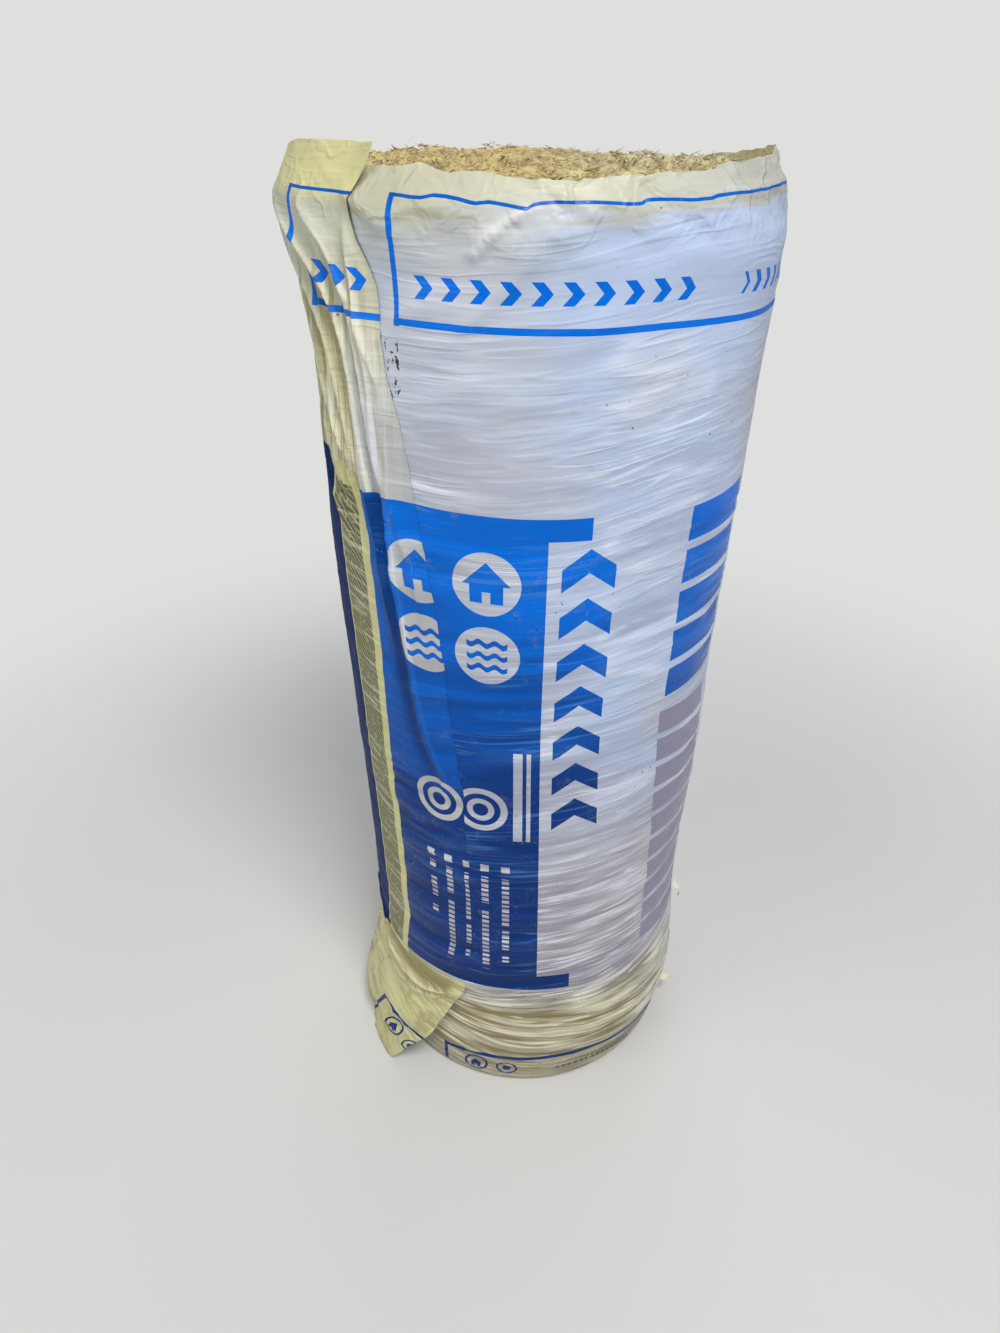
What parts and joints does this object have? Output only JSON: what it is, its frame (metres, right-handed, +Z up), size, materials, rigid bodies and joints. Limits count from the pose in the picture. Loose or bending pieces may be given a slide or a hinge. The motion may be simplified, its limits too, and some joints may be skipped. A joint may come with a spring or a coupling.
{
  "type": "insulation roll",
  "caption": "Roll of loft insulation blanket standing on end, wound in a printed plastic film with a loose outer flap.",
  "frame": {"origin": "on the roll's axis, at the level of the floor that the turned-under hem of the film rests on", "axes": "+Z up along the roll's axis; -Y is the front, with the loose edge of the film a little to its left (-X)"},
  "size_m": [0.4729, 0.4466, 1.166],
  "materials": {
    "wool": "fibrous, matt glass mineral wool",
    "film": "thin, creased white polyethylene film with blue print"
  },
  "bodies": {
    "root": {"wool_roll": "wool", "film_wrap": "film"}
  },
  "joints": []
}
